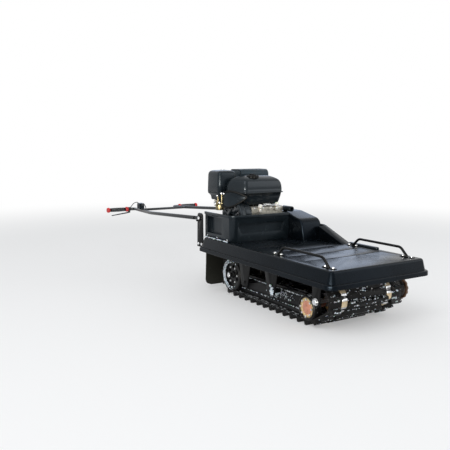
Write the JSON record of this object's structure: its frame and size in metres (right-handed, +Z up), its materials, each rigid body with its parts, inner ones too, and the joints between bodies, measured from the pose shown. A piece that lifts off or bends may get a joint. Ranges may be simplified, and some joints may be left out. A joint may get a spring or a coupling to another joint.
{
  "type": "tracked snow tug",
  "caption": "Motorised tracked snow tug with a rubber track under a black moulded hood, an open engine and a long folding handlebar.",
  "frame": {"origin": "on the ground, under the middle of the overall box with the handlebar at rest", "axes": "+X towards the nose, +Y to the left side, +Z up"},
  "size_m": [2.7, 0.86, 0.765],
  "materials": {
    "hood_plastic": "vacuum formed black ABS, satin, with snow dust and scratches",
    "box_plastic": "textured black ABS, matte",
    "frame_paint": "black powder coat on steel tube",
    "track_rubber": "reinforced rubber, dull, damp from snow",
    "flap_rubber": "thick rubber sheet, dull",
    "clip_steel": "zinc plated spring steel clips",
    "bright_steel": "zinc plated fasteners",
    "axle_steel": "turned steel, a little rust",
    "chain_steel": "oiled roller chain with rust",
    "wheel_rubber": "smooth solid rubber tread of the wheels",
    "hub_steel": "yellow passivated steel discs with rust",
    "wheel_plastic": "black nylon wheel discs",
    "slide_plastic": "black slide plastic",
    "engine_alloy": "die cast alloy, dusty",
    "engine_black": "gloss black enamel on pressed steel",
    "tank_paint": "gloss black tank enamel",
    "cap_black": "moulded black cap",
    "cap_ivory": "ivory filler caps",
    "filter_plastic": "moulded black filter box",
    "muffler_steel": "heat resistant dark coating with soot",
    "carburettor_alloy": "die cast zinc alloy with a yellow tint",
    "grip_rubber": "chequered black rubber",
    "grip_red": "red rubber collars",
    "cable_sleeve": "black vinyl sleeve of the control cables",
    "lever_black": "black coated alloy lever"
  },
  "bodies": {
    "machine": {"hood_tray": "hood_plastic", "engine_box": "box_plastic", "drive_cover": "hood_plastic", "side_ramp": "hood_plastic", "deck_pad": "box_plastic", "duct_tube": "box_plastic", "deck_rail_left": "frame_paint", "deck_rail_right": "frame_paint", "rail_nuts": "bright_steel", "frame_rail_left": "frame_paint", "frame_rail_right": "frame_paint", "frame_cross_tubes": "frame_paint", "engine_platform": "frame_paint", "axle_brackets": "frame_paint", "hanger_plates": "frame_paint", "suspension_tubes": "frame_paint", "rear_upright_left": "frame_paint", "rear_upright_right": "frame_paint", "hitch_clevis": "frame_paint", "snow_flap": "flap_rubber", "track_belt": "track_rubber", "track_clips": "clip_steel", "drive_axle": "axle_steel", "drive_chain": "chain_steel", "jackshaft": "axle_steel", "suspension_beam_left": "frame_paint", "suspension_beam_right": "frame_paint", "slide_shoes": "slide_plastic", "front_tyres": "wheel_rubber", "front_hubs": "hub_steel", "rear_tyres": "wheel_rubber", "rear_hubs": "wheel_plastic", "engine_block": "engine_alloy", "fan_shroud": "engine_black", "recoil_starter": "engine_black", "fuel_tank": "tank_paint", "fuel_cap": "cap_black", "air_filter": "filter_plastic", "carburettor": "carburettor_alloy", "muffler": "muffler_steel", "muffler_guard": "muffler_steel", "oil_caps": "cap_ivory", "pivot_bolts": "bright_steel"},
    "handlebar": {"handlebar_tube_left": "frame_paint", "handlebar_tube_right": "frame_paint", "handlebar_cross_bar": "frame_paint", "grips": "grip_rubber", "grip_collars": "grip_red", "brake_lever": "lever_black", "control_box": "filter_plastic", "brake_cable": "cable_sleeve", "throttle_cable": "cable_sleeve"}
  },
  "joints": [
    {"name": "handlebar_fold", "type": "hinge", "parent": "machine", "child": "handlebar", "pos_m": [0.042, 0, 0.451], "axis": [0, 1, 0], "range_deg": [0, 150]}
  ]
}
